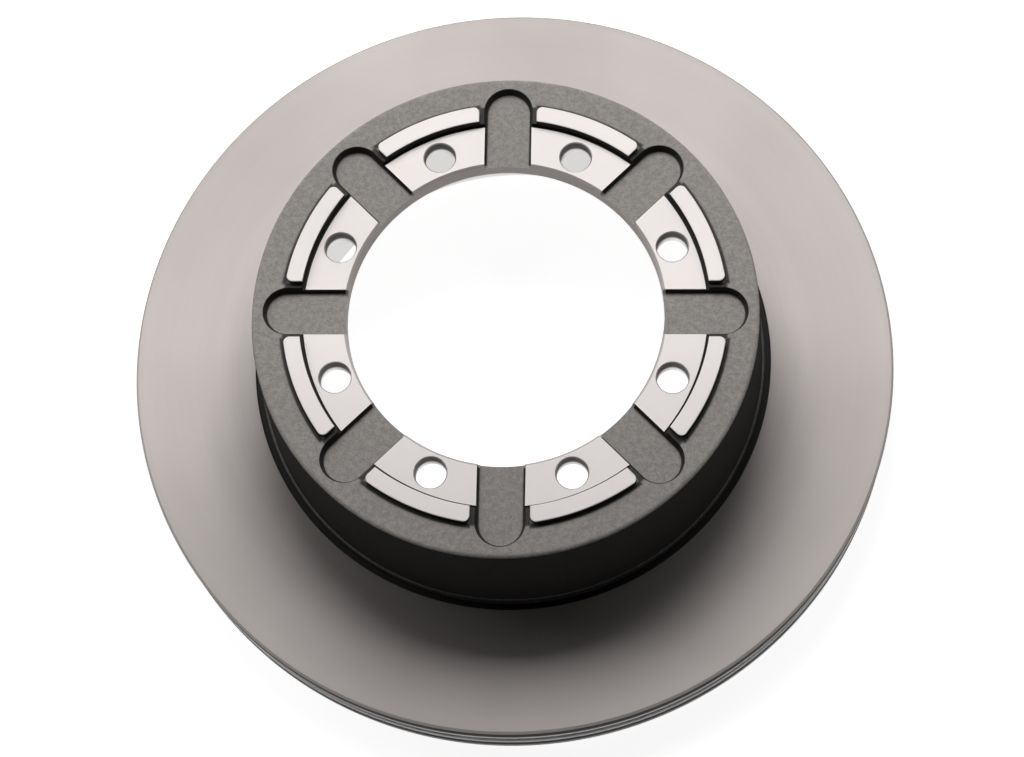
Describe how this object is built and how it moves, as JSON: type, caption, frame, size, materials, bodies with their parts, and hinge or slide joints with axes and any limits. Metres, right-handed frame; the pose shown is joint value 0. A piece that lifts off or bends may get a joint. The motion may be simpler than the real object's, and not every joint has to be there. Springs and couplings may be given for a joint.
{
  "type": "brake disc",
  "caption": "Ventilated brake disc with radial vanes and a deep bolt-on hat with machined seats, cast in one piece and turned.",
  "frame": {"origin": "centre of the disc's axis in the plane of the rear friction face, on which it lies", "axes": "+Z along the disc's axis from the rear friction face towards the hat; +Y through the middle of one groove in the hat face"},
  "size_m": [0.33, 0.33, 0.0903],
  "materials": {
    "cast_iron": "turned and ground friction faces, as-cast hat, bright machined lands"
  },
  "bodies": {
    "root": {"brake_disc": "cast_iron"}
  },
  "joints": []
}
